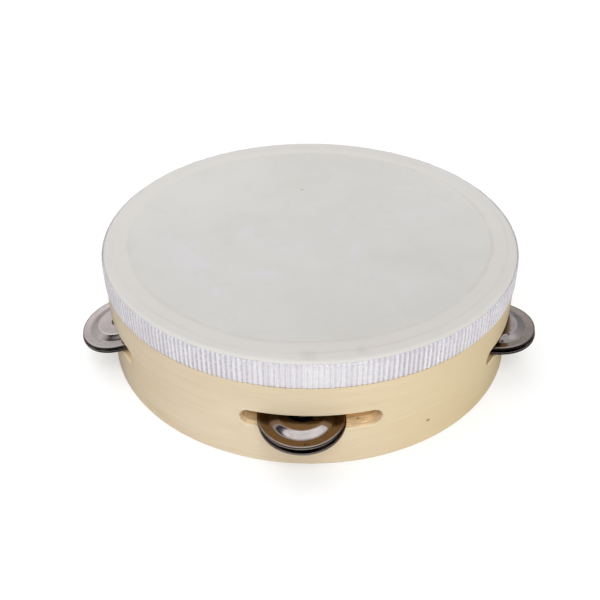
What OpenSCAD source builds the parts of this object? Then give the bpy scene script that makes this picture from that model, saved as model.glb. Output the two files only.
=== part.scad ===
// Small single-headed tambourine: bent three-ply hoop, hide head held by a
// glued tape, five slots with a pair of loose pressed jingles on a nail each.
// The hoop's axis is Z. Z = 0 is the open edge it stands on; the head is on
// top. Angles run anticlockwise from +X, so the first slot faces about -Y.

/* [Hoop] */
// Outside radius of the hoop
hoop_r = 75; // [70:1:90]
// Height of the wooden hoop without the head
hoop_h = 42.2; // [40:0.2:50]
// Thickness of one ply of the hoop
ply_t = 2.4; // [2.2:0.1:2.6]
// Rounding of the hoop's open edge
edge_r = 0.6; // [0.3:0.1:0.9]
// Rounding of the wood under the head
crown_r = 1.0; // [0.6:0.1:1.2]

/* [Slots] */
// Number of slots round the hoop
slots = 5; // [5:1:5]
// Direction of the first slot's middle
first_slot = -90.4; // [-100:0.1:-80]
// Turn of each slot away from even spacing, in degrees
slot_drift = [0, -1.4, 0, 0, 0];
// Lower face of the slots above the open edge
slot_z = 15.1; // [14:0.1:17]
// Height of a slot
slot_h = 5.9; // [5.8:0.1:6.5]
// Length of a slot measured round the outside
slot_l = 45.7; // [40:0.1:50]
// Sanded bevel round the slot's mouth, inside and outside
slot_bevel = 0.45; // [0.3:0.05:0.6]

/* [Jingles] */
// Outside radius of a jingle
jingle_r = 14.0; // [13:0.1:14.5]
// Height of a jingle from its rim to its raised middle
jingle_h = 1.9; // [1.8:0.1:2.0]
// Thickness of the pressed sheet
sheet_t = 0.4; // [0.3:0.05:0.5]
// Radius of the centre hole
jingle_hole_r = 2.3; // [2.1:0.05:2.4]
// Radius of the raised flat middle
plateau_r = 7.6; // [7.0:0.1:8.0]
// Radius where the raised middle meets the flange
foot_r = 10.7; // [10.3:0.1:11.2]
// Bend radius of the turned rim, at the middle of the sheet
rim_bend = 0.55; // [0.4:0.05:0.6]
// Straight drop of the turned rim below its bend
rim_drop = 0.25; // [0.05:0.05:0.3]
// Outward-down lean of each resting pair, in degrees
lean = [5, -1.5, 4, -3, 11.5];
// Resting gap between the two rims of each pair
rest_gap = [0.9, 0.7, 0.6, 0.6, 0.3];
// Outward shift of each resting upper jingle on its pin
up_out = [0.1, -0.5, 0.3, -0.4, 0.7];
// Anticlockwise sideways shift of each resting upper jingle on its pin
up_side = [-1.0, -0.9, 0.5, 0.4, 0.2];
// Outward shift of each resting lower jingle on its pin
low_out = [0.4, -0.2, -0.4, 0.5, 1.1];
// Anticlockwise sideways shift of each resting lower jingle on its pin
low_side = [-0.8, -1.15, 0.2, -0.6, 0.1];

/* [Pins] */
// Shank radius of a jingle pin
pin_r = 0.9; // [0.7:0.05:0.9]
// Head radius of a jingle pin
pin_head_r = 1.12; // [1.0:0.02:1.14]
// Thickness of the pin's head
pin_head_h = 0.8; // [0.5:0.1:1.2]
// Depth the head is sunk in from the open edge
pin_sink = 0.3; // [0.2:0.1:0.6]
// Depth the shank goes into the wood above the slot
pin_grip = 6; // [4:0.5:8]
// Length of the pin's point
pin_point = 1.6; // [1:0.1:2]
// Turn of each pin away from the middle of its slot, in degrees
pin_drift = [-1.6, -0.7, 0.5, -0.4, 0.6];

/* [Head] */
// Thickness of the hide
skin_t = 0.43; // [0.3:0.01:0.5]
// Width of the hide turned down over the side
collar_w = 7.4; // [6:0.1:8]
// Depth of the recess cut round the hoop for the hide and tape
recess_d = 0.7; // [0.6:0.05:0.8]

/* [Tape] */
// Lower edge of the tape above the open edge
tape_z = 32.7; // [31:0.1:34]
// Upper edge of the tape above the open edge
tape_top = 42.0; // [40:0.1:42.1]
// Thickness of the tape
tape_t = 0.55; // [0.4:0.05:0.6]

/* [Hidden] */
$fn = 96;
// thin glue line or running gap between touching pieces
gap = 0.02;
// how far the slot cutters run past a ply's faces
cut_past = 2;

// hoop
core_r = hoop_r - ply_t;
inner_r = hoop_r - 2 * ply_t;
bore_r = hoop_r - 3 * ply_t;
recess_r = hoop_r - recess_d;
// step of the recess below the tape
recess_z = tape_z - 0.12;
// centre of the rounding under the head
crown_x = recess_r - crown_r;
crown_z = hoop_h - crown_r;

// slots
slot_top = slot_z + slot_h;
// round ends, a touch larger than half the slot's height
end_r = slot_h / 2 + 0.03;
// angle from the slot's middle to the centre of a round end
end_a = (slot_l / 2 - slot_h / 2) / hoop_r * 180 / PI;
// wedge that bounds the slot's band: reach of its sides and of its tip, and
// its extra height above and below the slot
wedge_side = hoop_r + 20;
wedge_tip = hoop_r + 40;
wedge_margin = 5;

// pins
pin_ring = hoop_r - 1.5 * ply_t;
pin_top = slot_top + pin_grip;
// start of a pin hole's cutter, below the open edge
pin_hole_z = -1;

// jingles, at the middle of the sheet above the rim's edge
flange_z = rim_bend + rim_drop;
plateau_z = jingle_h - sheet_t / 2;
rim_r = jingle_r - sheet_t / 2;
bend_x = rim_r - rim_bend;
shoulder_steps = 14;
bend_steps = 8;
// clearance between a resting pair and the slot
rest_clear = 0.06;

// head and tape
skin_steps = 8;
tape_chamfer = 0.15;

wood = [0.87, 0.80, 0.69];
wood_core = [0.80, 0.70, 0.56];
hide = [0.93, 0.92, 0.90];
tape = [0.95, 0.95, 0.97];
steel = [0.72, 0.71, 0.71];

function slot_a(k) = first_slot + k * 360 / slots + slot_drift[k];
function pin_a(k) = slot_a(k) + pin_drift[k];

function reversed(list) = [for (i = [len(list) - 1:-1:0]) list[i]];

// Points of an arc about [x, z], from angle start to angle end.
function arc(x, z, radius, start, end, steps = 6) =
    [for (i = [0:steps]) let (a = start + (end - start) * i / steps)
        [x + radius * cos(a), z + radius * sin(a)]];

// ---- hoop ----

// Slot window along +X between two radii: a wedge of a flat band with round
// ends. It opens at 45 degrees past the inner or outer mouth to bevel the edge.
module slot_window(from_r, to_r, inner_mouth, outer_mouth) {
    // [radius, spread beyond the plain slot]
    side = concat(
        inner_mouth ? [[from_r - cut_past, slot_bevel + cut_past]] : [],
        [[inner_mouth ? from_r + slot_bevel : from_r, 0],
            [outer_mouth ? to_r - slot_bevel : to_r, 0]],
        outer_mouth ? [[to_r + cut_past, slot_bevel + cut_past]] : []);
    wedge_x = wedge_side * cos(end_a);
    wedge_y = wedge_side * sin(end_a);

    intersection() {
        rotate_extrude() polygon(concat(
            [for (p = side) [p[0], slot_z - p[1]]],
            [for (p = reversed(side)) [p[0], slot_top + p[1]]]));
        translate([0, 0, slot_z - wedge_margin])
            linear_extrude(slot_h + 2 * wedge_margin)
                polygon([[0, 0], [wedge_x, -wedge_y], [wedge_tip, 0], [wedge_x, wedge_y]]);
    }
    for (turn = [-end_a, end_a])
        rotate([0, 0, turn]) translate([0, 0, slot_z + slot_h / 2]) rotate([0, 90, 0])
            rotate_extrude() polygon(concat(
                [[0, side[0][0]]],
                [for (p = side) [end_r + p[1], p[0]]],
                [[0, side[len(side) - 1][0]]]));
}

module slot_windows(from_r, to_r, inner_mouth = false, outer_mouth = false) {
    for (k = [0:slots - 1]) rotate([0, 0, slot_a(k)])
        slot_window(from_r, to_r, inner_mouth, outer_mouth);
}

// Outer ply, with the recess for the hide and tape round its top.
module outer_ply() {
    color(wood) difference() {
        rotate_extrude() polygon(concat(
            [[core_r + gap, 0]],
            arc(hoop_r - edge_r, edge_r, edge_r, -90, 0),
            [[hoop_r, recess_z], [recess_r, recess_z]],
            arc(crown_x, crown_z, crown_r, 0, 90),
            [[core_r + gap, hoop_h]]));
        slot_windows(core_r - cut_past, hoop_r, outer_mouth = true);
    }
}

// Middle ply, drilled from the open edge for the pins.
module core_ply() {
    color(wood_core) difference() {
        rotate_extrude() polygon([[inner_r + gap, 0], [core_r, 0],
            [core_r, hoop_h], [inner_r + gap, hoop_h]]);
        slot_windows(inner_r - cut_past, core_r + cut_past);
        for (k = [0:slots - 1]) at_pin(k) nail(pin_hole_z, grow = gap / 2);
    }
}

module inner_ply() {
    color(wood) difference() {
        rotate_extrude() polygon(concat(
            arc(bore_r + edge_r, edge_r, edge_r, 180, 270),
            [[inner_r, 0], [inner_r, hoop_h], [bore_r, hoop_h]]));
        slot_windows(bore_r, inner_r + cut_past, inner_mouth = true);
    }
}

// ---- pins ----

// Moves to pin k's axis, with +X pointing out of the hoop.
module at_pin(k) {
    rotate([0, 0, pin_a(k)]) translate([pin_ring, 0, 0]) children();
}

// Nail, point up, from start_z; grow widens the same shape into its hole.
module nail(start_z, grow = 0) {
    head_top = pin_sink + pin_head_h + grow;
    rotate_extrude() polygon([[0, start_z], [pin_head_r + grow, start_z],
        [pin_head_r + grow, head_top],
        [pin_r + grow, head_top],
        [pin_r + grow, pin_top - pin_point],
        [0, pin_top + 2 * grow]]);
}

module pin(k) {
    color(steel) at_pin(k) nail(pin_sink);
}

// ---- jingles ----

// Middle line of the pressed sheet as [r, z, normal r, normal z]: flat middle,
// cosine shoulder down to the flange, bend, straight rim.
function sheet_path() =
    let (fall = plateau_z - flange_z, run = foot_r - plateau_r)
    concat(
        [[jingle_hole_r, plateau_z, 0, 1]],
        [for (i = [0:shoulder_steps])
            let (s = i / shoulder_steps,
                slope = atan(-fall * PI / 2 * sin(180 * s) / run))
            [plateau_r + s * run, flange_z + fall * (1 + cos(180 * s)) / 2,
                -sin(slope), cos(slope)]],
        [for (i = [0:bend_steps]) let (a = 90 - 90 * i / bend_steps)
            [bend_x + rim_bend * cos(a), rim_drop + rim_bend * sin(a), cos(a), sin(a)]],
        [[rim_r, 0, 1, 0]]);

// The path moved along its normals.
function sheet_face(shift) =
    [for (p = sheet_path()) [p[0] + shift * p[2], p[1] + shift * p[3]]];

// A jingle with its rim on z = 0 and its raised middle upwards.
module jingle() {
    rotate_extrude() polygon(concat(
        sheet_face(sheet_t / 2), reversed(sheet_face(-sheet_t / 2))));
}

// Radius of the slot edge that pair k leans over: outer or inner.
function rest_r(k) = lean[k] > 0 ? hoop_r - slot_bevel : bore_r + slot_bevel;

// Height of a resting jingle's rim centre. The lower one's raised middle stands
// on the slot's edge; the upper one floats the resting gap above it.
function low_z(k) = slot_z + rest_clear + jingle_h / cos(lean[k])
    + (rest_r(k) - pin_ring - low_out[k]) * tan(lean[k]);
function up_z(k) = low_z(k) + rest_gap[k] / cos(lean[k])
    - (up_out[k] - low_out[k]) * tan(lean[k]);

module jingle_upper(k) {
    color(steel) at_pin(k) translate([up_out[k], up_side[k], up_z(k)])
        rotate([0, lean[k], 0]) jingle();
}

// The lower jingle lies upside down, rim to rim with the upper.
module jingle_lower(k) {
    color(steel) at_pin(k) translate([low_out[k], low_side[k], low_z(k)])
        rotate([0, lean[k], 0]) mirror([0, 0, 1]) jingle();
}

// ---- head and tape ----

// Hide stretched flat over the hoop, rolled over its edge and turned down.
module skin_head() {
    under_r = crown_r + gap;
    collar_r = recess_r + gap;
    collar_z = crown_z - collar_w;
    color(hide) rotate_extrude() polygon(concat(
        [[0, hoop_h + gap]],
        arc(crown_x, crown_z, under_r, 90, 0, skin_steps),
        [[collar_r, collar_z], [collar_r + skin_t, collar_z]],
        arc(crown_x, crown_z, under_r + skin_t, 0, 90, skin_steps),
        [[0, hoop_h + gap + skin_t]]));
}

// Tape glued round the turned-down hide, its outer corners chamfered.
module ribbon_trim() {
    back_r = recess_r + skin_t + 2 * gap;
    face_r = back_r + tape_t;
    color(tape) rotate_extrude() polygon([
        [back_r, tape_z], [face_r - tape_chamfer, tape_z],
        [face_r, tape_z + tape_chamfer], [face_r, tape_top - tape_chamfer],
        [face_r - tape_chamfer, tape_top], [back_r, tape_top]]);
}

outer_ply();
core_ply();
inner_ply();
skin_head();
ribbon_trim();
pin(0);  // pin_1
pin(1);  // pin_2
pin(2);  // pin_3
pin(3);  // pin_4
pin(4);  // pin_5
jingle_upper(0);  // jingle_1_upper
jingle_lower(0);  // jingle_1_lower
jingle_upper(1);  // jingle_2_upper
jingle_lower(1);  // jingle_2_lower
jingle_upper(2);  // jingle_3_upper
jingle_lower(2);  // jingle_3_lower
jingle_upper(3);  // jingle_4_upper
jingle_lower(3);  // jingle_4_lower
jingle_upper(4);  // jingle_5_upper
jingle_lower(4);  // jingle_5_lower
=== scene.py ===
"""Tambourine lying flat, hide head up: a slotted birch hoop about the z axis, its foot near z 0.

Five pins in the slots carry a pair of nickel discs each, and a ribbed tape binds the hide.
The camera looks along +y and down. Meshes and textures are worked out in millimetres.
"""
import math
from functools import reduce

import bpy
import numpy as np
from mathutils import Matrix, Vector


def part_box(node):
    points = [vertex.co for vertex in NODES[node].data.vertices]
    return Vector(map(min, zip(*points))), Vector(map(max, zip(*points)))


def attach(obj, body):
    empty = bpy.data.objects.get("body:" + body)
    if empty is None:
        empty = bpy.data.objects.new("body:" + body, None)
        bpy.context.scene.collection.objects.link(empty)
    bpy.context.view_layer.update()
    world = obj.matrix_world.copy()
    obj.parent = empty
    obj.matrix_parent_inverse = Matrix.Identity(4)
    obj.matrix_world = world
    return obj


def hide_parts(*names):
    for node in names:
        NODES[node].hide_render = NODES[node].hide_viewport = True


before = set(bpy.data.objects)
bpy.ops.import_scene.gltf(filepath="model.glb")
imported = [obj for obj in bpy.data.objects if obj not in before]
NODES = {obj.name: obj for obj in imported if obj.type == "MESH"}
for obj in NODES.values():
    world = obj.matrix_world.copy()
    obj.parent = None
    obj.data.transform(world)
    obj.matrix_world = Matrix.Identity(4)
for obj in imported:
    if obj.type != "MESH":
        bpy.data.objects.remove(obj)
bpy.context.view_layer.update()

MM = 0.001


# ---------------------------------------------------------------- frame sizes, mm

def vertices(name):
    mesh = NODES[name].data
    coords = np.zeros(len(mesh.vertices) * 3)
    mesh.vertices.foreach_get("co", coords)
    return coords.reshape(-1, 3) * 1000


def box(name):
    low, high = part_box(name)
    return np.array(low) * 1000, np.array(high) * 1000


HOOP_R, _, HOOP_H = (float(size) for size in box("outer_ply")[1])
SKIN_LOW, SKIN_HIGH = box("skin_head")
SKIN_R, SKIN_FOOT, TOP = float(SKIN_HIGH[0]), float(SKIN_LOW[2]), float(SKIN_HIGH[2])
TAPE_LOW, TAPE_HIGH = box("ribbon_trim")
TAPE_R, TAPE_Z0, TAPE_Z1 = float(TAPE_HIGH[0]), float(TAPE_LOW[2]), float(TAPE_HIGH[2])
PIN_NUMBERS = range(1, 6)


def measure_slots():
    """Lower and upper z of the slots, and the middle (x, y) of each on the hoop's outside."""
    wall = vertices("outer_ply")
    wall = wall[(wall[:, 2] > 0.2 * HOOP_H) & (wall[:, 2] < 0.7 * HOOP_H)]
    low, high = float(wall[:, 2].min()), float(wall[:, 2].max())
    ends = wall[(wall[:, 2] > low + 0.4) & (wall[:, 2] < high - 0.4)]
    middles = []
    for number in PIN_NUMBERS:
        pin = sum(box(f"pin_{number}")) / 2
        angle = math.atan2(pin[1], pin[0])
        turn = np.arctan2(ends[:, 1], ends[:, 0]) - angle
        turn = (turn + math.pi) % (2 * math.pi) - math.pi
        turn = turn[np.abs(turn) < math.radians(30)]
        if len(turn):
            angle += float(turn.min() + turn.max()) / 2
        middles.append((HOOP_R * math.cos(angle), HOOP_R * math.sin(angle)))
    return low, high, middles


SLOT_LOW, SLOT_HIGH, SLOT_MIDDLES = measure_slots()


# ---------------------------------------------------------------- shape helpers

def circle(count):
    return np.arange(count) * 2 * np.pi / count


def wobble(angles, seed, orders, size):
    """Smooth closed wobble around a circle, from waves of the given orders."""
    rng = np.random.default_rng(seed)
    total = np.zeros_like(angles)
    for order in orders:
        wave = rng.normal() * np.cos(order * angles + rng.uniform(0, 2 * np.pi))
        total += wave / math.sqrt(order)
    return size * total / math.sqrt(len(orders))


def smoothstep(start, end, value):
    part = np.clip((value - start) / (end - start), 0, 1)
    return part * part * (3 - 2 * part)


def round_corners(points, times):
    line = np.array(points, float)
    for _ in range(times):
        near = 0.75 * line[:-1] + 0.25 * line[1:]
        far = 0.25 * line[:-1] + 0.75 * line[1:]
        line = np.vstack([line[:1], np.stack([near, far], 1).reshape(-1, 2), line[-1:]])
    return line


def resample(line, step):
    run = np.r_[0, np.cumsum(np.linalg.norm(np.diff(line, axis=0), axis=1))]
    count = max(2, int(round(run[-1] / step)) + 1)
    stops = np.linspace(0, run[-1], count)
    return np.stack([np.interp(stops, run, line[:, 0]), np.interp(stops, run, line[:, 1])], 1)


def make_piece(name, coords, faces):
    mesh = bpy.data.meshes.new(name)
    mesh.from_pydata((coords * MM).tolist(), [], [tuple(int(i) for i in f) for f in faces])
    mesh.validate()
    mesh.update()
    mesh.polygons.foreach_set("use_smooth", np.ones(len(mesh.polygons), bool))
    piece = bpy.data.objects.new(name, mesh)
    bpy.context.scene.collection.objects.link(piece)
    return piece


def ring_faces(around, section):
    """Quads of a grid that closes both around the axis and around its section."""
    i, j = np.meshgrid(np.arange(around), np.arange(section), indexing="ij")
    i2, j2 = (i + 1) % around, (j + 1) % section
    corners = [i * section + j, i2 * section + j, i2 * section + j2, i * section + j2]
    return np.stack(corners, -1).reshape(-1, 4)


def dress(node, material):
    """Give a frame piece its material."""
    piece = NODES[node]
    piece.data.materials.clear()
    piece.data.materials.append(material)


def swap_in(piece, material, carrier, node):
    """Put a new piece in the place of a frame piece."""
    piece.data.materials.append(material)
    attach(piece, carrier)
    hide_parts(node)


# ---------------------------------------------------------------- shader helpers

class Graph:
    """Builds shader nodes; a value may be a number, a tuple or another node's socket."""

    def __init__(self, owner):
        owner.use_nodes = True
        self.tree = owner.node_tree
        self.tree.nodes.clear()

    def add(self, kind, *values):
        node = self.tree.nodes.new("ShaderNode" + kind)
        for socket, value in zip(node.inputs, values):
            self.put(socket, value)
        return node

    def put(self, socket, value):
        if isinstance(value, bpy.types.NodeSocket):
            self.tree.links.new(value, socket)
        elif isinstance(value, tuple) and len(value) == 3 and socket.type == "RGBA":
            socket.default_value = (*value, 1)
        else:
            socket.default_value = value

    def vector(self, operation, *values):
        node = self.add("VectorMath", *values)
        node.operation = operation
        return node.outputs["Value" if operation in ("DOT_PRODUCT", "LENGTH") else 0]

    def calc(self, operation, *values, clamp=False):
        node = self.add("Math", *values)
        node.operation = operation
        node.use_clamp = clamp
        return node.outputs[0]

    def times(self, first, second):
        return self.calc("MULTIPLY", first, second)

    def plus(self, first, second, clamp=False):
        return self.calc("ADD", first, second, clamp=clamp)

    def largest(self, *values):
        return reduce(lambda first, second: self.calc("MAXIMUM", first, second), values)

    def ramp(self, value, span, to=(0.0, 1.0)):
        """Smooth step from to[0] at span[0] to to[1] at span[1]."""
        node = self.add("MapRange", value, *span, *to)
        node.interpolation_type = "SMOOTHSTEP"
        return node.outputs[0]

    def band(self, value, rise, fall, peak=1.0):
        """Rises over one span and falls back to 0 over the other."""
        return self.times(self.ramp(value, rise, to=(0.0, peak)), self.ramp(value, fall))

    def split(self, value):
        return self.add("SeparateXYZ", value).outputs

    def join(self, x, y, z):
        return self.add("CombineXYZ", x, y, z).outputs[0]

    def scale(self, value, factors):
        return self.vector("MULTIPLY", value, factors)

    def radius(self, x, y):
        return self.vector("LENGTH", self.join(x, y, 0.0))

    def distance(self, point, centre, stretch=None):
        offset = self.vector("SUBTRACT", point, centre)
        if stretch:
            offset = self.scale(offset, stretch)
        return self.vector("LENGTH", offset)

    def noise(self, point, scale=1.0, detail=4, rough=0.6, shift=None, warp=0.0, stretch=None):
        if stretch:
            point = self.scale(point, stretch)
        if shift:
            point = self.vector("ADD", point, shift)
        node = self.add("TexNoise")
        settings = dict(Vector=point, Scale=scale, Detail=detail, Roughness=rough, Distortion=warp)
        for name, value in settings.items():
            self.put(node.inputs[name], value)
        return node.outputs[0]

    def mix(self, base, over, amount):
        """Lay the colour `over` on `base`."""
        node = self.add("Mix")
        node.data_type = "RGBA"
        for index, value in ((0, amount), (6, base), (7, over)):
            self.put(node.inputs[index], value)
        return node.outputs[2]

    def mix_shader(self, switch, off, on):
        return self.add("MixShader", switch, off, on).outputs[0]

    def bump(self, height, depth_mm, strength):
        node = self.add("Bump")
        node.inputs["Strength"].default_value = strength
        node.inputs["Distance"].default_value = depth_mm * MM
        self.put(node.inputs["Height"], height)
        return node.outputs[0]

    def geometry(self, output):
        return self.add("NewGeometry").outputs[output]


class Material(Graph):
    """A Principled material; `point` is the object-space place in mm."""

    def __init__(self, name):
        self.material = bpy.data.materials.new(name)
        super().__init__(self.material)
        self.output = self.add("OutputMaterial")
        self.shader = self.add("BsdfPrincipled")
        self.put(self.output.inputs[0], self.shader.outputs[0])
        self.point = self.scale(self.add("TexCoord").outputs["Object"], (1000, 1000, 1000))

    def surface(self, **values):
        for name, value in values.items():
            self.put(self.shader.inputs[name.replace("_", " ")], value)
        return self.material


def shade(colour, factor):
    """Colour times one factor, or times one factor for each channel."""
    return tuple(np.multiply(colour, factor))


# ---------------------------------------------------------------- wood and pins

def wood(name, light, dark, toast, seed, knots):
    """Birch with level grain, scorched slots with painted shade in the +x slot, and a painted
    darker reflection; knots are (x, y, z, radius).
    """
    mat = Material(name)
    x, y, z = mat.split(mat.point)
    # grain layers, on a z that wanders by up to 5 mm
    wave = mat.noise(mat.point, stretch=(0.03, 0.03, 0.05), detail=2, rough=0.5,
                     shift=(seed, 0, 3))
    grain = mat.join(x, y, mat.plus(z, mat.times(wave, 5.0)))
    streak = mat.noise(grain, stretch=(0.026, 0.026, 1.15), detail=6, rough=0.62,
                       shift=(seed, 5, 1))
    fibre = mat.noise(grain, stretch=(0.11, 0.11, 5.2), rough=0.65, shift=(seed, 9, 2))
    fleck = mat.noise(grain, stretch=(0.42, 0.42, 3.4), detail=3, rough=0.55,
                      shift=(1, seed, 8))
    broad = mat.noise(mat.point, stretch=(0.028, 0.028, 0.09), detail=3, rough=0.5,
                      shift=(7, seed, 4))
    tone = mat.plus(mat.ramp(streak, (0.30, 0.72), to=(-0.24, 0.34)),
                    mat.ramp(fibre, (0.3, 0.7), to=(-0.18, 0.20)))
    tone = mat.plus(tone, mat.ramp(broad, (0.3, 0.7), to=(-0.24, 0.30)))
    tone = mat.plus(tone, 0.36, clamp=True)
    colour = mat.mix(light, dark, amount=tone)
    # cooler patches, a yellower +x side, dark flecks
    hue = mat.noise(mat.point, stretch=(0.03, 0.03, 0.04), detail=2, rough=0.5,
                    shift=(seed, 3, 9))
    colour = mat.mix(colour, shade(light, (0.985, 0.965, 1.02)),
                     amount=mat.ramp(hue, (0.35, 0.68), to=(0.0, 0.35)))
    colour = mat.mix(colour, shade(light, (0.955, 0.905, 0.71)),
                     amount=mat.ramp(x, (-25, 65), to=(0.0, 0.72)))
    colour = mat.mix(colour, shade(dark, 0.80),
                     amount=mat.ramp(fleck, (0.60, 0.78), to=(0.0, 0.20)))
    # slot faces: at slot height, and not facing along the radius
    outward = mat.vector("NORMALIZE", mat.join(x, y, 0.0))
    facing = mat.vector("DOT_PRODUCT", mat.geometry("True Normal"), outward)
    cut = mat.ramp(mat.calc("ABSOLUTE", facing), (0.62, 0.40))
    cut = mat.times(cut, mat.band(z, rise=(SLOT_LOW - 0.7, SLOT_LOW - 0.3),
                                  fall=(SLOT_HIGH + 0.7, SLOT_HIGH + 0.3)))
    # the router scorches them unevenly, and they are darker toward the slot ends
    burn = mat.noise(mat.point, stretch=(0.16, 0.16, 0.5), shift=(seed, 2, 6))
    slot_z = (SLOT_LOW + SLOT_HIGH) / 2
    ends = mat.largest(*(
        mat.band(mat.distance(mat.point, (*middle, slot_z)), rise=(17.5, 22.5), fall=(30, 25))
        for middle in SLOT_MIDDLES))
    torn = mat.join(mat.times(mat.radius(x, y), 1.5), mat.times(z, 1.2), mat.times(x, 0.10))
    shred = mat.noise(torn, detail=5, shift=(seed, 12, 6), warp=0.3)
    scorch_and_slot_shade = mat.mix(shade(toast, 1.18), shade(toast, 0.78), amount=mat.ramp(burn, (0.38, 0.66)))
    scorch_and_slot_shade = mat.mix(scorch_and_slot_shade, shade(toast, (0.52, 0.46, 0.38)),
                     amount=mat.ramp(shred, (0.50, 0.66), to=(0.0, 0.75)))
    scorch_and_slot_shade = mat.mix(scorch_and_slot_shade, shade(toast, 0.66), amount=mat.times(ends, 0.30))
    # painted shade: the slot faces toward +x are darkened, as that slot lies in shade
    scorch_and_slot_shade = mat.mix(scorch_and_slot_shade, (0.30, 0.18, 0.085), amount=mat.ramp(x, (52, 62), to=(0.0, 0.75)))
    colour = mat.mix(colour, scorch_and_slot_shade, amount=cut)
    for *centre, size in knots:
        away = mat.distance(mat.point, tuple(centre), stretch=(0.75, 0.75, 1.1))
        away = mat.calc("DIVIDE", away, size)
        colour = mat.mix(colour, (0.16, 0.085, 0.035),
                         amount=mat.ramp(away, (0.45, 1.25), to=(0.82, 0.0)))
    # soft brown halo where the cutter left each mouth
    halo = mat.band(z, rise=(SLOT_LOW - 1.1, SLOT_LOW - 0.1),
                    fall=(SLOT_HIGH + 1.1, SLOT_HIGH + 0.1))
    near = mat.largest(*(
        mat.ramp(mat.distance(mat.point, (*middle, 0), stretch=(1, 1, 0)), (24.2, 23.0))
        for middle in SLOT_MIDDLES))
    halo = mat.times(mat.times(halo, near), mat.ramp(burn, (0.35, 0.65), to=(0.02, 0.30)))
    colour = mat.mix(colour, shade(toast, 0.80), amount=halo)
    # the plated discs mirror the wall above them as the deep brown of shaded wood
    mirrored = mat.add("LightPath").outputs["Is Glossy Ray"]
    colour = mat.mix(colour, mat.scale(colour, (0.36, 0.235, 0.095)), amount=mirrored)
    height = mat.plus(mat.times(streak, 0.5), mat.times(fibre, 0.5))
    return mat.surface(Base_Color=colour, Specular_IOR_Level=0.32,
                       Roughness=mat.ramp(fibre, (0.3, 0.7), to=(0.46, 0.62)),
                       Normal=mat.bump(height, depth_mm=0.06, strength=0.7))


def dress_hoop():
    outer = wood("birch_wood", light=(0.755, 0.645, 0.480), dark=(0.680, 0.556, 0.382),
                 toast=(0.83, 0.65, 0.41), seed=0.0,
                 knots=[(37.9, -64.7, 9.5, 0.62), (-71.0, -24.0, 8.2, 0.35)])
    inner = wood("birch_wood_inner", light=(0.72, 0.605, 0.450), dark=(0.635, 0.510, 0.350),
                 toast=(0.60, 0.37, 0.165), seed=31.0, knots=[(18.6, -67.0, 16.2, 0.9)])
    core = wood("birch_core_wood", light=(0.67, 0.545, 0.39), dark=(0.565, 0.435, 0.29),
                toast=(0.76, 0.55, 0.30), seed=57.0,
                knots=[(14.5, -69.6, 15.1, 0.42), (21.2, -67.8, 19.2, 0.5)])
    dress("outer_ply", outer)
    dress("core_ply", core)
    dress("inner_ply", inner)


def nail_steel():
    mat = Material("nail_steel")
    drawn = mat.noise(mat.point, stretch=(9, 9, 0.5), detail=3)
    spots = mat.noise(mat.point, scale=1.4)
    colour = mat.mix((0.24, 0.22, 0.20), (0.10, 0.075, 0.055),
                     amount=mat.ramp(spots, (0.45, 0.75)))
    return mat.surface(Base_Color=colour, Metallic=1.0,
                       Roughness=mat.ramp(drawn, (0.3, 0.7), to=(0.22, 0.42)),
                       Normal=mat.bump(drawn, depth_mm=0.02, strength=0.5))


def dress_pins():
    steel = nail_steel()
    for number in PIN_NUMBERS:
        dress(f"pin_{number}", steel)


# ---------------------------------------------------------------- hide head

HIDE_THICK = 0.43
LIP = 1.45  # radius of the bend from the top to the wall
FLAT_R = SKIN_R - LIP
HIDE_AROUND = 288


def hide_profile():
    """(radius, z from TOP) from near the middle, over the lip and down the wall."""
    flat = [(r, 0.0) for r in np.r_[np.linspace(1.5, 62, 24), np.linspace(63.5, FLAT_R, 22)]]
    bend = [(FLAT_R + LIP * math.sin(a), LIP * (math.cos(a) - 1))
            for a in np.radians(np.arange(9, 91, 9))]
    wall = [(SKIN_R, z - TOP) for z in np.linspace(TOP - LIP - 1.0, SKIN_FOOT, 5)]
    return flat + bend + wall


def hide_rings(inside):
    angles = circle(HIDE_AROUND)
    wobble_r = wobble(angles, seed=11, orders=(2, 3, 5, 9, 14, 23), size=0.028)
    wobble_z = wobble(angles, seed=12, orders=(2, 4, 7, 11, 17, 26), size=0.045)
    wobble_hem = wobble(angles, seed=13, orders=(5, 9, 16, 28, 41), size=0.10)
    rings = []
    for r, drop in hide_profile():
        on_lip = smoothstep(SKIN_R - 4.2, SKIN_R - 0.6, r)
        # the head sinks a little inside the hoop, with a low ridge over it
        dip = 0.17 * (1 - smoothstep(63.8, 67.6, r)) + 0.05 * (1 - smoothstep(58.0, 64.5, r))
        ridge = 0.035 * math.exp(-((r - 70.4) / 1.1) ** 2)
        z = TOP + drop - dip + ridge
        if drop > -2:
            z = z + wobble_z * on_lip
        radius = r + wobble_r * on_lip
        ripple = 0.020 * np.sin(3 * angles + r * 0.11 + 1.0) * np.sin(r / 19.0)
        ripple = ripple + 0.012 * np.cos(7 * angles - r * 0.2) * smoothstep(20, 60, r)
        z = z + ripple * (1 - on_lip)
        if drop < -7.0:
            z = z + wobble_hem
        if inside:
            lean = 0.0 if r < FLAT_R + 0.01 else math.pi / 2
            if lean and drop > -LIP - 0.01:
                lean = math.asin(min(1, (r - FLAT_R) / LIP))
            z = z - HIDE_THICK * math.cos(lean)
            radius = radius - HIDE_THICK * math.sin(lean)
        rings.append(np.stack([radius * np.cos(angles), radius * np.sin(angles), z], 1))
    return rings


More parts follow.
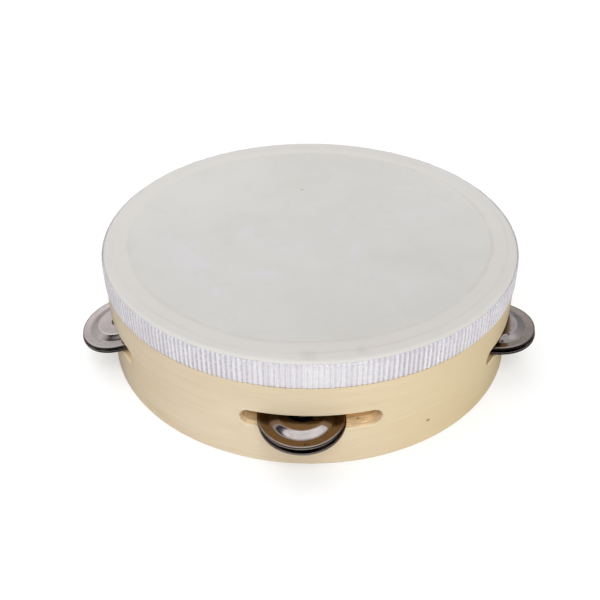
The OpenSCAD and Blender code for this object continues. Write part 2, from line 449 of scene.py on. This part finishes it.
def hide_mesh():
    above, below = hide_rings(inside=False), hide_rings(inside=True)
    rings = above + below[::-1]
    centres = [[0, 0, above[0][:, 2].mean()], [0, 0, below[0][:, 2].mean()]]
    coords = np.vstack(rings + [centres])
    around = HIDE_AROUND
    faces = []
    for i in range(len(rings) - 1):
        a, b = i * around, (i + 1) * around
        for j in range(around):
            j2 = (j + 1) % around
            faces.append((a + j, b + j, b + j2, a + j2))
    last = (len(rings) - 1) * around
    upper_centre = len(rings) * around
    for j in range(around):
        j2 = (j + 1) % around
        faces.append((upper_centre, j, j2))
        faces.append((upper_centre + 1, last + j2, last + j))
    return make_piece("hide_head", coords, faces)


# stains on the head: x, y, radius, strength, colour
HIDE_STAINS = (
    (-2.6, 32.2, 0.75, 0.55, (0.30, 0.27, 0.22)),
    (-1.4, -71.1, 2.6, 0.30, (0.42, 0.43, 0.37)),
    (14.8, -68.9, 1.9, 0.28, (0.42, 0.43, 0.37)),
    (-31.0, 12.0, 0.5, 0.25, (0.36, 0.33, 0.28)),
    (40.0, 30.0, 0.45, 0.25, (0.36, 0.33, 0.28)),
)


def natural_hide():
    mat = Material("natural_hide")
    x, y, z = mat.split(mat.point)
    r = mat.radius(x, y)
    cloud = mat.noise(mat.point, scale=0.020, rough=0.55, shift=(3, 1, 0), warp=0.4)
    mottle = mat.noise(mat.point, scale=0.115, detail=5, shift=(9, 4, 0), warp=0.6)
    fine = mat.noise(mat.point, scale=1.5, detail=5, shift=(2, 8, 1))
    pore = mat.noise(mat.point, scale=5.5, detail=3, shift=(5, 5, 5))
    colour = mat.mix((0.585, 0.582, 0.572), (0.555, 0.547, 0.530),
                     amount=mat.ramp(cloud, (0.30, 0.70)))
    colour = mat.mix(colour, (0.515, 0.498, 0.465),
                     amount=mat.ramp(mottle, (0.48, 0.80), to=(0, 0.30)))
    colour = mat.mix(colour, (0.49, 0.475, 0.44),
                     amount=mat.ramp(fine, (0.35, 0.72), to=(0, 0.16)))
    # warmer where it lies over the hoop, along a wandering circle
    wander = mat.noise(mat.point, scale=0.018, detail=2, rough=0.4, shift=(1, 6, 2))
    wander_r = mat.plus(r, mat.ramp(wander, (0.3, 0.7), to=(-0.8, 0.8)))
    colour = mat.mix(colour, (0.622, 0.596, 0.564),
                     amount=mat.ramp(wander_r, (64.4, 66.8), to=(0, 0.50)))
    # lilac patches toward the middle
    patches = mat.noise(mat.point, scale=0.045, shift=(6, 1, 9), warp=0.5)
    lilac = mat.times(mat.ramp(patches, (0.52, 0.66)), mat.ramp(r, (60, 45)))
    colour = mat.mix(colour, (0.590, 0.575, 0.615), amount=mat.times(lilac, 0.5))
    # painted shade along two crimp lines, fainter toward -x and +y
    shade_extent = mat.ramp(mat.calc("SUBTRACT", x, y), (-60, 45), to=(0.40, 1.0))
    crimp_in = mat.times(mat.band(wander_r, rise=(64.3, 65.1), fall=(66.3, 65.4)), shade_extent)
    crimp_out = mat.times(mat.band(wander_r, rise=(69.9, 70.5), fall=(71.5, 70.8)), shade_extent)
    broken_in = mat.ramp(mottle, (0.35, 0.6), to=(0.10, 0.50))
    broken_out = mat.ramp(cloud, (0.35, 0.6), to=(0.05, 0.50))
    colour = mat.mix(colour, (0.530, 0.480, 0.455), amount=mat.times(crimp_in, broken_in))
    colour = mat.mix(colour, (0.545, 0.485, 0.460), amount=mat.times(crimp_out, broken_out))
    # paler bend at the lip
    edge = mat.times(mat.ramp(z, (TOP - 0.10, TOP - 0.75)), mat.ramp(r, (72.4, 73.6)))
    colour = mat.mix(colour, (0.70, 0.69, 0.655), amount=mat.times(edge, 0.75))
    for stain_x, stain_y, size, strength, tint in HIDE_STAINS:
        away = mat.distance(mat.point, (stain_x, stain_y, TOP - 0.2))
        away = mat.calc("DIVIDE", away, size)
        colour = mat.mix(colour, tint, amount=mat.ramp(away, (0.3, 1.4), to=(strength, 0.0)))
    # painted light: lighter toward +y and -x
    gain = mat.times(mat.ramp(y, (-60, 75), to=(1.01, 1.125)),
                     mat.ramp(x, (-70, 70), to=(1.045, 1.005)))
    colour = mat.scale(colour, mat.join(gain, gain, gain))
    height = mat.plus(mat.times(fine, 0.6), mat.times(pore, 0.4))
    return mat.surface(Base_Color=colour, Specular_IOR_Level=0.28,
                       Roughness=mat.ramp(mottle, (0.3, 0.7), to=(0.52, 0.64)),
                       Subsurface_Weight=0.12, Subsurface_Radius=(0.0012, 0.0009, 0.0006),
                       Subsurface_Scale=1.0,
                       Normal=mat.bump(height, depth_mm=0.05, strength=0.55))


# ---------------------------------------------------------------- ribbed tape

CORDS = 282
TAPE_AROUND = CORDS * 16
CORD_DEPTH = 0.34
TAPE_INNER_R = SKIN_R + 0.03
LAP_START = math.radians(98)  # where the tape overlaps itself
# stations up the tape, as parts of its width: the outside upward, then the inside downward
TAPE_OUTSIDE = (0.0, 0.03, 0.085, 0.22, 0.40, 0.60, 0.78, 0.915, 0.97, 1.0)
TAPE_INSIDE = (0.985, 0.5, 0.015)


def tape_mesh():
    angles = circle(TAPE_AROUND)
    rng = np.random.default_rng(77)
    phase = CORDS * angles + wobble(angles, 31, (3, 7, 12, 19, 33, 61, 88, 117), 1.1)
    cord = np.floor(phase / (2 * np.pi) + 0.5).astype(int) % CORDS
    rib = 0.78 * np.sqrt(np.clip(0.5 + 0.5 * np.cos(phase), 0, 1))
    rib = rib + 0.22 * (0.5 - 0.5 * np.cos(2 * phase))
    rib = rib / rib.max()
    lift = rng.uniform(0.70, 1.0, CORDS)[cord]
    loop = rng.uniform(-1, 1, CORDS)[cord]
    drift_low = wobble(angles, seed=33, orders=(2, 3, 5, 8, 13, 31), size=0.13)
    drift_high = wobble(angles, seed=34, orders=(2, 4, 6, 9, 17, 37), size=0.12)
    drift_r = wobble(angles, seed=35, orders=(2, 3, 6, 11), size=0.02)
    lap = smoothstep(LAP_START - 0.004, LAP_START + 0.004, angles)
    lap = lap * (1 - smoothstep(LAP_START + 0.105, LAP_START + 0.112, angles))
    width = TAPE_Z1 - TAPE_Z0
    section = []
    for part in TAPE_OUTSIDE:
        edge = min(part, 1 - part)
        full = float(smoothstep(-0.02, 0.05, edge))
        brim = max(0.0, (part - 0.80) / 0.20)
        depth = CORD_DEPTH * (0.30 + 0.70 * full)
        r = TAPE_R - CORD_DEPTH + depth * rib * lift - (1 - full) * 0.14 - 0.10 * brim * brim
        r = r + 0.10 * lap + drift_r
        # the cords run out past both edges
        side = 1 if part > 0.5 else -1
        end = (0.24 * rib + 0.08 * loop) * side * (1 - min(1, edge / 0.05))
        z = TAPE_Z0 + 0.16 + (width - 0.26) * part
        section.append((r, z + drift_low * (1 - part) + drift_high * part + end))
    for part in TAPE_INSIDE:
        z = TAPE_Z0 + width * part + drift_low * (1 - part) + drift_high * part
        section.append((TAPE_INNER_R + drift_r / 2, z))
    coords = np.stack([np.stack([r * np.cos(angles), r * np.sin(angles), z], 1)
                       for r, z in section], 1)
    tape = make_piece("ribbed_tape", coords.reshape(-1, 3),
                      ring_faces(TAPE_AROUND, len(section)))
    attributes = {
        "groove": np.clip(0.5 - 0.5 * np.cos(phase), 0, 1) ** 0.9,
        "notch": np.exp(-(((phase / (2 * np.pi) + 0.5) % 1 - 0.5) / 0.085) ** 2),
        "tint": rng.uniform(0, 1, CORDS)[cord],
    }
    for name, values in attributes.items():
        layer = tape.data.attributes.new(name, "FLOAT", "POINT")
        layer.data.foreach_set("value", np.repeat(values, len(section)).astype(np.float32))
    return tape


def ribbed_cotton():
    mat = Material("ribbed_cotton")

    def attribute(name):
        node = mat.add("Attribute")
        node.attribute_name = name
        return node.outputs["Fac"]

    x, _, z = mat.split(mat.point)
    aside = mat.calc("ABSOLUTE", x)
    weft = mat.calc("SINE", mat.times(z, 2 * math.pi / 0.34))  # one thread every 0.34 mm
    fuzz = mat.noise(mat.point, scale=3.5, rough=0.65)
    lint = mat.noise(mat.point, scale=1.1, rough=0.65, shift=(3, 3, 1), warp=0.4)
    soil = mat.noise(mat.point, scale=0.09, shift=(4, 2, 7))
    colour = mat.mix((0.885, 0.878, 0.908), (0.820, 0.800, 0.820),
                     amount=mat.ramp(soil, (0.40, 0.75), to=(0, 0.5)))
    # each cord's own tint, then painted shade in the grooves, stronger away from x 0, and fainter
    # painted shade in the notch along each cord
    colour = mat.mix(colour, (0.58, 0.55, 0.61),
                     amount=mat.ramp(attribute("tint"), (0.25, 1.0), to=(0, 0.30)))
    groove_shade = mat.times(mat.ramp(aside, (4, 34), to=(0.34, 0.80)),
                     mat.ramp(lint, (0.30, 0.62), to=(0.55, 1.15)))
    colour = mat.mix(colour, (0.37, 0.34, 0.41), amount=mat.times(attribute("groove"), groove_shade))
    faint = mat.ramp(aside, (10, 40), to=(0.42, 0.16))
    colour = mat.mix(colour, (0.42, 0.40, 0.46), amount=mat.times(attribute("notch"), faint))
    # threads, lint and fuzz
    colour = mat.mix(colour, (0.50, 0.49, 0.52), amount=mat.ramp(weft, (-1, 1), to=(0.10, 0.0)))
    colour = mat.mix(colour, (0.60, 0.58, 0.62),
                     amount=mat.ramp(lint, (0.45, 0.72), to=(0, 0.26)))
    colour = mat.mix(colour, (0.55, 0.53, 0.56),
                     amount=mat.ramp(fuzz, (0.45, 0.75), to=(0, 0.18)))
    # the selvedges: mottled grey along the top edge, glue that has yellowed below
    brim = mat.times(mat.ramp(z, (TAPE_Z1 - 2.0, TAPE_Z1 - 0.5)), mat.ramp(lint, (0.38, 0.58)))
    colour = mat.mix(colour, (0.50, 0.47, 0.54), amount=mat.times(brim, 0.40))
    hem = mat.times(mat.ramp(z, (TAPE_Z0 + 0.9, TAPE_Z0 + 0.2)),
                    mat.ramp(lint, (0.40, 0.62), to=(0.0, 0.5)))
    colour = mat.mix(colour, (0.74, 0.67, 0.54), amount=hem)
    height = mat.plus(mat.times(weft, 0.22), mat.times(fuzz, 0.6))
    return mat.surface(Base_Color=colour, Roughness=0.82, Specular_IOR_Level=0.18,
                       Sheen_Weight=0.12, Sheen_Roughness=0.5,
                       Normal=mat.bump(height, depth_mm=0.06, strength=0.7))


# ---------------------------------------------------------------- jingle discs

SHEET = 0.40
DISC_R = 14.0
DISC_AROUND = 168


def own_axes(points):
    """Axes of a flat piece's vertices, as columns, thinnest first."""
    return np.linalg.eigh(np.cov((points - points.mean(0)).T))[1]


def disc_height():
    points = vertices("jingle_2_upper")
    return round(float(np.ptp(points @ own_axes(points)[:, 0])), 3)


DISC_H = disc_height()


def disc_section():
    """Closed outline of the pressed sheet as (radius, z), rim near z 0, raised middle at DISC_H."""
    crown = DISC_H - SHEET / 2
    # middle of the sheet, from the hole outward: radius, z
    points = [
        (2.3, crown - 0.20), (3.6, crown - 0.19), (5.0, crown - 0.14), (6.3, crown - 0.06),
        (7.15, crown - 0.015), (7.45, crown + 0.02), (7.75, crown), (8.1, crown - 0.10),
        (10.2, 0.74), (10.6, 0.64), (11.1, 0.65), (12.2, 0.75), (13.15, 0.86),
        (13.6, 0.90), (13.82, 0.78), (13.80, 0.45), (13.80, 0.20),
    ]
    middle = resample(round_corners(points, times=3), step=0.30)
    tangent = np.gradient(middle, axis=0)
    tangent /= np.linalg.norm(tangent, axis=1)[:, None]
    normal = np.stack([-tangent[:, 1], tangent[:, 0]], 1)
    upper = middle + SHEET / 2 * normal
    lower = middle - SHEET / 2 * normal
    upper[:, 0] = np.minimum(upper[:, 0], DISC_R)
    return np.vstack([upper, lower[::-1]])


DISC_SECTION = disc_section()


def disc_place(name):
    """Rim centre, two axes in the disc's plane, its axis, its sign along that, its radius."""
    points = vertices(name)
    centre = points.mean(0)
    axes = own_axes(points)
    axis = axes[:, 0] * np.sign(axes[2, 0])
    across = np.cross(axis, [0, 1, 0])
    across /= np.linalg.norm(across)
    along = np.cross(axis, across)
    local = (points - centre) @ np.stack([across, along, axis], 1)
    low, high = local.min(0), local.max(0)
    upper = name.endswith("upper")
    rim = low[2] if upper else high[2]
    origin = (centre + across * (low[0] + high[0]) / 2 + along * (low[1] + high[1]) / 2
              + axis * rim)
    return origin, across, along, axis, (1 if upper else -1), (high[0] - low[0]) / 2


def disc_mesh(node, seed):
    """The disc in place of a frame node, with its origin and axis."""
    origin, across, along, axis, sign, radius = disc_place(node)
    rng = np.random.default_rng(seed)
    angles = circle(DISC_AROUND)
    warp = wobble(angles, seed + 1, orders=(2, 3, 5), size=0.028)[:, None]
    lip = wobble(angles, seed + 2, orders=(4, 7, 11, 17), size=0.022)[:, None]
    # dents: radius, angle, size, height
    dents = [(rng.uniform(3.5, 12.5), rng.uniform(0, 2 * np.pi), rng.uniform(0.6, 1.5),
              rng.uniform(-0.035, 0.03)) for _ in range(9)]
    cos, sin = np.cos(angles)[:, None], np.sin(angles)[:, None]
    r = DISC_SECTION[None, :, 0] * radius / DISC_R
    z = DISC_SECTION[None, :, 1] + warp * (r / DISC_R) ** 2
    z = z + lip * smoothstep(12.6, 13.7, r)
    r = r - np.abs(lip) * 0.6 * smoothstep(12.8, 13.8, r)
    for dent_r, dent_angle, size, height in dents:
        away = ((r * cos - dent_r * math.cos(dent_angle)) ** 2
                + (r * sin - dent_r * math.sin(dent_angle)) ** 2)
        z = z + height * np.exp(-away / (size * size))
    z = np.clip(z, -0.02, DISC_H + 0.02)
    coords = (origin + (r * cos)[..., None] * across + (r * sin)[..., None] * along * sign
              + (sign * z)[..., None] * axis)
    disc = make_piece(node.replace("jingle", "disc"), coords.reshape(-1, 3),
                      ring_faces(DISC_AROUND, len(DISC_SECTION)))
    return disc, origin, axis


# marks of single discs: `flange_brown` is how far the flange is browned as a painted reflection of
# the slot wood,
# `shade_extent` the radius of the middle darkened as painted shade, `specks` are small dark spots
# as x and y from the disc's origin and radius
DISC_MARKS = {
    (1, "upper"): dict(flange_brown=0.45, shade_extent=4.1, specks=(
        (1.0, -12.5, 0.28), (2.1, -12.4, 0.22), (10.8, -4.4, 0.25))),
    (2, "upper"): dict(flange_brown=0.50, specks=((3.2, -7.0, 0.42), (0.55, -10.0, 0.50))),
    (5, "upper"): dict(flange_brown=0.0),
}


def nickel(tag, origin, axis, seed, specks=(), flange_brown=0.12, shade_extent=2.9):
    """Bright plating with turning marks about the disc's axis, smudges and tarnished creases;
    painted shade at the hole and back rim, a painted highlight ring, and a painted brown reflection
    on the flange.
    """
    mat = Material("nickel_" + tag)
    point = mat.vector("SUBTRACT", mat.point, tuple(origin))
    depth = mat.vector("DOT_PRODUCT", point, tuple(axis))
    on_axis = mat.scale(mat.join(depth, depth, depth), tuple(axis))
    r = mat.distance(point, on_axis)
    shift = tuple(np.random.default_rng(seed).uniform(0, 40, 3))
    turning = mat.noise(mat.join(mat.times(r, 7.0), mat.times(depth, 0.4), shift[0]), rough=0.7)
    arcs = mat.noise(mat.join(mat.times(r, 2.6), shift[1], shift[2]), detail=3)
    broken = mat.noise(point, scale=0.22, detail=3, rough=0.5, shift=shift[::-1])
    arcs = mat.times(mat.ramp(arcs, (0.40, 0.62)), mat.ramp(broken, (0.42, 0.60)))
    smudge = mat.noise(point, scale=0.16, shift=shift, warp=0.8)
    blot = mat.noise(point, scale=0.55, detail=5, rough=0.65, shift=shift[::-1], warp=0.5)
    pits = mat.noise(point, scale=4.5, detail=3, shift=shift)
    # plating with smudges, blots and turned arcs
    colour = mat.mix((0.715, 0.668, 0.662), (0.640, 0.585, 0.575),
                     amount=mat.ramp(smudge, (0.35, 0.70)))
    colour = mat.mix(colour, (0.44, 0.38, 0.32),
                     amount=mat.ramp(blot, (0.58, 0.80), to=(0, 0.45)))
    colour = mat.mix(colour, (0.46, 0.41, 0.39), amount=mat.times(arcs, 0.22))
    # brown flange as a painted reflection of the brown slot wood, then grime in the crease and
    # painted shade around the hole
    brown = mat.times(mat.ramp(r, (10.6, 11.4)), mat.ramp(blot, (0.25, 0.60), to=(0.55, 1.0)))
    colour = mat.mix(colour, (0.36, 0.27, 0.185), amount=mat.times(brown, flange_brown))
    crease = mat.band(r, rise=(10.0, 10.6), fall=(11.6, 10.9))
    hole = mat.ramp(r, (shade_extent + 0.35, shade_extent - 0.15))
    grime_and_hole_shade = mat.largest(mat.times(crease, 0.34), mat.times(hole, 0.5))
    grime_and_hole_shade = mat.times(grime_and_hole_shade, mat.ramp(blot, (0.30, 0.65), to=(0.35, 1.0)))
    colour = mat.mix(colour, (0.24, 0.19, 0.145), amount=grime_and_hole_shade)
    # painted shade: the middle around the hole is darkened almost to black
    colour = mat.mix(colour, (0.035, 0.025, 0.020), amount=mat.times(hole, 0.92))
    # painted highlight: a bright ring at the edge of the raised middle
    ring = mat.band(r, rise=(7.2, 7.6), fall=(8.2, 7.8))
    colour = mat.mix(colour, (0.95, 0.92, 0.92), amount=mat.times(ring, 0.34))
    # dark rim: a dark cut edge all round, and painted shade where the rim faces +y
    _, normal_y, _ = mat.split(mat.geometry("True Normal"))
    back = mat.times(mat.ramp(normal_y, (0.10, 0.35), to=(0.0, 0.92)),
                     mat.ramp(r, (13.25, 13.55)))
    rim = mat.largest(back, mat.ramp(r, (13.55, 13.78), to=(0.0, 0.25)))
    colour = mat.mix(colour, (0.12, 0.10, 0.09), amount=rim)
    colour = mat.mix(colour, (0.30, 0.25, 0.21),
                     amount=mat.ramp(pits, (0.66, 0.80), to=(0, 0.35)))
    for speck_x, speck_y, size in specks:
        away = mat.distance(point, (speck_x, speck_y, 0), stretch=(1, 1, 0))
        colour = mat.mix(colour, (0.030, 0.018, 0.012),
                         amount=mat.ramp(away, (size * 0.6, size * 1.35), to=(0.93, 0.0)))
        colour = mat.mix(colour, (0.25, 0.20, 0.17),
                         amount=mat.ramp(away, (size * 1.2, size * 2.6), to=(0.35, 0.0)))
    rough = mat.plus(mat.ramp(smudge, (0.3, 0.7), to=(0.06, 0.13)),
                     mat.times(mat.ramp(turning, (0.3, 0.7)), 0.04))
    rough = mat.plus(rough, mat.times(grime_and_hole_shade, 0.3))
    height = mat.plus(mat.times(turning, 0.5), mat.times(pits, 0.12))
    return mat.surface(Base_Color=colour, Metallic=1.0, Roughness=rough,
                       Normal=mat.bump(height, depth_mm=0.012, strength=0.5))


def build_discs():
    for number in PIN_NUMBERS:
        for i, side in enumerate(("upper", "lower")):
            node = f"jingle_{number}_{side}"
            disc, origin, axis = disc_mesh(node, seed=900 + 20 * number + 5 * i)
            plating = nickel(f"{number}_{side}", origin, axis, seed=300 + 20 * number + i,
                             **DISC_MARKS.get((number, side), {}))
            swap_in(disc, plating, node, node)


# ---------------------------------------------------------------- studio, metres

def paper_floor():
    """Glows for the camera, and shows mirrors a dim floor with two lit parts."""
    mat = Material("paper_floor")
    fibre = mat.noise(mat.point, scale=0.4)
    rays = mat.add("LightPath").outputs
    seen = mat.mix((0.64, 0.655, 0.68), (0.63, 0.645, 0.67), amount=mat.ramp(fibre, (0.3, 0.7)))
    x, y, _ = mat.split(mat.geometry("Position"))
    # the glow grows away from the hoop and toward -x
    glow = mat.times(mat.ramp(mat.radius(x, y), (0.10, 0.24), to=(1.0, 1.40)), 0.37)
    glow = mat.times(glow, mat.ramp(x, (-0.055, -0.085), to=(1.0, 1.16)))
    mat.surface(Base_Color=mat.mix((0.93, 0.92, 0.90), seen, amount=rays["Is Camera Ray"]),
                Roughness=0.9, Specular_IOR_Level=0.05, Emission_Color=(1.0, 0.985, 0.955),
                Emission_Strength=mat.times(rays["Is Camera Ray"], glow))
    # mirrored floor: lit in front of the hoop and behind its middle
    x, y, _ = mat.split(mat.geometry("Position"))
    ahead = mat.times(mat.ramp(y, (-0.078, -0.088)),
                      mat.ramp(mat.calc("ABSOLUTE", x), (0.060, 0.035)))
    lit = mat.largest(ahead, mat.ramp(y, (0.0, 0.07), to=(0.0, 0.75)))
    mirrored = mat.add("Emission", (1.0, 0.95, 0.91), mat.plus(mat.times(lit, 0.50), 0.02))
    mat.put(mat.output.inputs[0], mat.mix_shader(
        rays["Is Glossy Ray"], off=mat.shader.outputs[0], on=mirrored.outputs[0]))
    return mat.material


def build_floor():
    bpy.ops.mesh.primitive_plane_add(size=9, location=(0, 1.5, 0))
    floor = bpy.context.object
    floor.name = "floor"
    floor.data.materials.append(paper_floor())


# grey of the mirrored studio by the height of the ray: position, value
STUDIO_GREYS = ((0.10, 0.36), (0.34, 0.44), (0.52, 0.48), (0.66, 0.60), (0.80, 0.78),
                (0.90, 0.90))


def build_world():
    """Soft even light for matt surfaces; panels and dark gaps for the metal to mirror."""
    world = bpy.data.worlds.new("studio")
    bpy.context.scene.world = world
    sky = Graph(world)
    output = sky.add("OutputWorld")
    x, y, z = sky.split(sky.add("TexCoord").outputs["Generated"])
    # even light, dimmer low down, behind and to both sides
    even = sky.times(sky.ramp(x, (-0.8, 0.9), to=(1.06, 0.90)),
                     sky.ramp(z, (-0.1, 0.8), to=(0.46, 0.60)))
    even = sky.times(even, sky.ramp(y, (0.9, -0.6), to=(0.86, 1.12)))
    aside = sky.calc("ABSOLUTE", x, 0.0)
    even = sky.times(even, sky.ramp(aside, (0.35, 0.95), to=(1.0, 0.50)))
    greys = sky.add("ValToRGB", z)
    stops = greys.color_ramp.elements
    stops[0].position, stops[0].color = 0.0, (0.30, 0.29, 0.285, 1)
    stops[1].position, stops[1].color = 1.0, (0.92, 0.91, 0.90, 1)
    for position, grey in STUDIO_GREYS:
        stops.new(position).color = (grey, grey * 0.97, grey * 0.975, 1)
    # mirrored panels: brighter on -x, even overhead, dark in front
    sides = sky.times(sky.ramp(x, (-0.50, 0.18), to=(1.32, 0.82)),
                      sky.ramp(x, (0.26, 0.42), to=(1.0, 0.70)))
    high = sky.ramp(z, (0.72, 0.90))
    sides = sky.plus(sky.times(sides, sky.calc("SUBTRACT", 1.0, high)), high)
    front = sky.ramp(y, (-0.60, -0.05), to=(0.16, 1.0))
    # two dark gaps: a strong one on -x, and a weaker, wider one
    strong = sky.times(sky.band(y, rise=(-0.01, 0.06), fall=(0.34, 0.20)),
                       sky.band(x, rise=(-0.22, -0.32), fall=(-0.84, -0.62), peak=0.97))
    weak = sky.times(sky.band(y, rise=(0.07, 0.15), fall=(0.50, 0.42)),
                     sky.band(x, rise=(-0.46, -0.36), fall=(0.55, 0.35), peak=0.58))
    gapless = sky.calc("SUBTRACT", 1.0, sky.largest(strong, weak))
    panel = sky.times(sky.times(sides, front), gapless)
    matt = sky.add("Background", (1.0, 0.995, 0.99), even).outputs[0]
    mirrored = sky.add("Background", greys.outputs[0], panel).outputs[0]
    white = sky.add("Background", (1, 1, 1), 1.0).outputs[0]
    rays = sky.add("LightPath").outputs
    lighting = sky.mix_shader(rays["Is Glossy Ray"], off=matt, on=mirrored)
    sky.put(output.inputs[0], sky.mix_shader(rays["Is Camera Ray"], off=lighting, on=white))


def aim(place, target):
    return (Vector(target) - Vector(place)).to_track_quat("-Z", "Y").to_euler()


def add_lamp(name, place, size, watts, target=(0, 0, 0.02), colour=(1, 1, 1)):
    light = bpy.data.lights.new(name, "AREA")
    light.shape = "DISK"
    light.size = size
    light.energy = watts
    light.color = colour
    lamp = bpy.data.objects.new(name, light)
    bpy.context.scene.collection.objects.link(lamp)
    lamp.location = place
    lamp.rotation_euler = aim(place, target)
    lamp.visible_glossy = False
    lamp.visible_camera = False


def build_lamps():
    add_lamp("key_soft", place=(0.12, -1.0, 1.15), size=0.9, watts=12.4)
    add_lamp("top_soft", place=(-0.25, 0.10, 1.60), size=1.4, watts=5.2)
    add_lamp("right_fill", place=(1.1, -0.7, 0.7), size=0.9, watts=0.5, colour=(1.0, 0.96, 0.86))
    # daylight that comes down through the thin hide and out by the slots
    add_lamp("hide_glow", place=(0, 0, (TOP - 4) * MM), size=0.11, watts=0.030,
             target=(0, 0, 0), colour=(1.0, 0.93, 0.82))


def build_camera():
    lens = bpy.data.cameras.new("camera")
    camera = bpy.data.objects.new("camera", lens)
    bpy.context.scene.collection.objects.link(camera)
    pitch, roll = math.radians(35.908), math.radians(-0.36)
    forward = Vector((0, math.cos(pitch), -math.sin(pitch)))
    right = Vector((1, 0, 0))
    up = right.cross(forward)
    rolled_right = right * math.cos(roll) + up * math.sin(roll)
    rolled_up = -right * math.sin(roll) + up * math.cos(roll)
    turn = Matrix((rolled_right, rolled_up, -forward)).transposed().to_4x4()
    camera.matrix_world = Matrix.Translation((-0.003705, -0.26154, 0.200775)) @ turn
    lens.sensor_width = 36
    lens.lens = 49.83
    lens.clip_start = 0.01
    scene = bpy.context.scene
    scene.camera = camera
    scene.view_settings.view_transform = "Standard"
    scene.view_settings.look = "None"


dress_hoop()
dress_pins()
swap_in(hide_mesh(), natural_hide(), "root", "skin_head")
swap_in(tape_mesh(), ribbed_cotton(), "root", "ribbon_trim")
build_discs()
build_floor()
build_world()
build_lamps()
build_camera()
